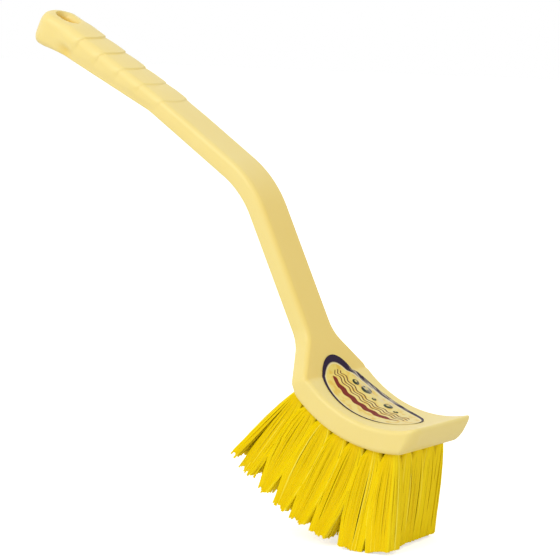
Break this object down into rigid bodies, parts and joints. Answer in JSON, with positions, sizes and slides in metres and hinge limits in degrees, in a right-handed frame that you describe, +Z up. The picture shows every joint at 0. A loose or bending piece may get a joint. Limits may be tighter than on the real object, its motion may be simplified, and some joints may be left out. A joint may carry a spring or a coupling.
{
  "type": "sink cleaning brush",
  "caption": "Hand brush with a cranked plastic handle, hanging eye and curved head carrying a fan of stiff bristle tufts.",
  "frame": {"origin": "on the floor under the flat-cut front bristles, at the middle of the whole brush's length and width", "axes": "+Z up, towards the hanging eye; +X from the handle's end to the tip of the head; +Y to the left of someone looking along +X"},
  "size_m": [0.219, 0.047, 0.2241],
  "materials": {
    "handle_plastic": "satin",
    "bristle_plastic": "satin",
    "label_film": "gloss"
  },
  "bodies": {
    "root": {"handle_and_head": "handle_plastic", "label": "label_film", "tuft_r1_c1": "bristle_plastic", "tuft_r1_c2": "bristle_plastic", "tuft_r1_c3": "bristle_plastic", "tuft_r1_c4": "bristle_plastic", "tuft_r1_c5": "bristle_plastic", "tuft_r2_c1": "bristle_plastic", "tuft_r2_c2": "bristle_plastic", "tuft_r2_c3": "bristle_plastic", "tuft_r2_c4": "bristle_plastic", "tuft_r2_c5": "bristle_plastic", "tuft_r3_c1": "bristle_plastic", "tuft_r3_c2": "bristle_plastic", "tuft_r3_c3": "bristle_plastic", "tuft_r3_c4": "bristle_plastic", "tuft_r3_c5": "bristle_plastic", "tuft_r4_c1": "bristle_plastic", "tuft_r4_c2": "bristle_plastic", "tuft_r4_c3": "bristle_plastic", "tuft_r4_c4": "bristle_plastic", "tuft_r4_c5": "bristle_plastic", "tuft_r5_c1": "bristle_plastic", "tuft_r5_c2": "bristle_plastic", "tuft_r5_c3": "bristle_plastic", "tuft_r5_c4": "bristle_plastic", "tuft_r5_c5": "bristle_plastic", "tuft_r6_c1": "bristle_plastic", "tuft_r6_c2": "bristle_plastic", "tuft_r6_c3": "bristle_plastic", "tuft_r6_c4": "bristle_plastic", "tuft_r6_c5": "bristle_plastic", "tuft_r7_c1": "bristle_plastic", "tuft_r7_c2": "bristle_plastic", "tuft_r7_c3": "bristle_plastic", "tuft_r7_c4": "bristle_plastic", "tuft_r7_c5": "bristle_plastic"}
  },
  "joints": []
}
